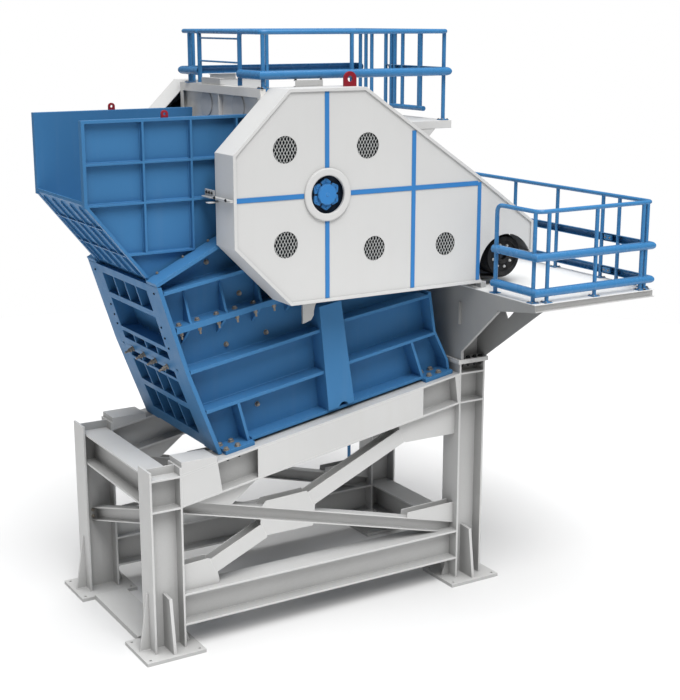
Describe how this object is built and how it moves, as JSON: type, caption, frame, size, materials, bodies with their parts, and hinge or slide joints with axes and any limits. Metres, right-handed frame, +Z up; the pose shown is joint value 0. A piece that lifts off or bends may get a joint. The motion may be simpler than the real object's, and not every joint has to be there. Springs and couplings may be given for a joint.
{
  "type": "jaw crusher on a support frame",
  "caption": "Jaw crusher with feed hopper, guarded flywheels and belt drive, railed platforms and a braced steel support frame.",
  "frame": {"origin": "on the ground, at the middle of the anchor bolt pattern", "axes": "+X from the hopper to the drive platform, -Y to the belt drive side, +Z up"},
  "size_m": [6.013, 4.8659, 6.43],
  "materials": {
    "frame_paint": "satin light grey paint",
    "blue_paint": "satin blue paint",
    "guard_paint": "satin off-white paint",
    "panel_paint": "satin mid grey paint",
    "bare_steel": "turned and oiled",
    "manganese_steel": "cast, work hardened",
    "wheel_paint": "satin dark paint",
    "screen_steel": "expanded mesh",
    "pulley_iron": "black paint on iron",
    "motor_paint": "satin paint",
    "belt_rubber": "matt",
    "lug_paint": "satin dark red paint"
  },
  "bodies": {
    "frame": {"base_plates": "frame_paint", "columns_front": "frame_paint", "columns_rear": "frame_paint", "column_gussets": "frame_paint", "base_beams": "frame_paint", "front_top_beam": "frame_paint", "rear_base_beam": "frame_paint", "front_sill": "frame_paint", "end_brace": "frame_paint", "long_braces": "frame_paint", "short_braces": "frame_paint", "joint_plates": "frame_paint", "inclined_beams": "frame_paint", "beam_covers": "frame_paint", "end_blocks": "frame_paint", "joint_end_plates": "frame_paint", "rear_stubs": "frame_paint", "bulkhead_front": "frame_paint", "bulkhead_rear": "frame_paint", "platform_frame": "frame_paint", "platform_floor": "frame_paint", "drive_rails_side": "blue_paint", "drive_rails_cross": "blue_paint", "walk_rails_side": "blue_paint", "walk_rails_cross": "blue_paint", "walkway": "guard_paint", "back_panel": "panel_paint", "crusher_sides": "blue_paint", "crusher_front": "blue_paint", "crusher_rear": "blue_paint", "side_ribs": "blue_paint", "bearing_housings": "blue_paint", "fixed_jaw": "manganese_steel", "swing_jaw": "blue_paint", "toggle_plate": "bare_steel", "cheek_plates": "manganese_steel", "drive_guard": "guard_paint", "flywheel_guard": "guard_paint", "vent_screens": "screen_steel", "hub_rings": "guard_paint", "guard_strips": "blue_paint", "guard_brackets": "guard_paint", "motor": "motor_paint", "motor_base": "guard_paint", "drive_belt": "belt_rubber", "hopper_sides": "blue_paint", "hopper_floor": "blue_paint", "lifting_lugs": "lug_paint", "ladder": "blue_paint"},
    "rotor": {"main_shaft": "bare_steel", "flywheels": "wheel_paint", "hub_clamps": "blue_paint"},
    "pulley": {"motor_pulley": "pulley_iron"}
  },
  "joints": [
    {"name": "flywheel_turn", "type": "hinge", "parent": "frame", "child": "rotor", "pos_m": [-0.173, 0, 4.79], "axis": [0, 1, 0], "continuous": true},
    {"name": "pulley_turn", "type": "hinge", "parent": "frame", "child": "pulley", "pos_m": [2.19, -1.165, 3.93], "axis": [0, 1, 0], "continuous": true}
  ],
  "couplings": [
    {"joint": "pulley_turn", "follows": "flywheel_turn", "ratio": 4.1333}
  ]
}
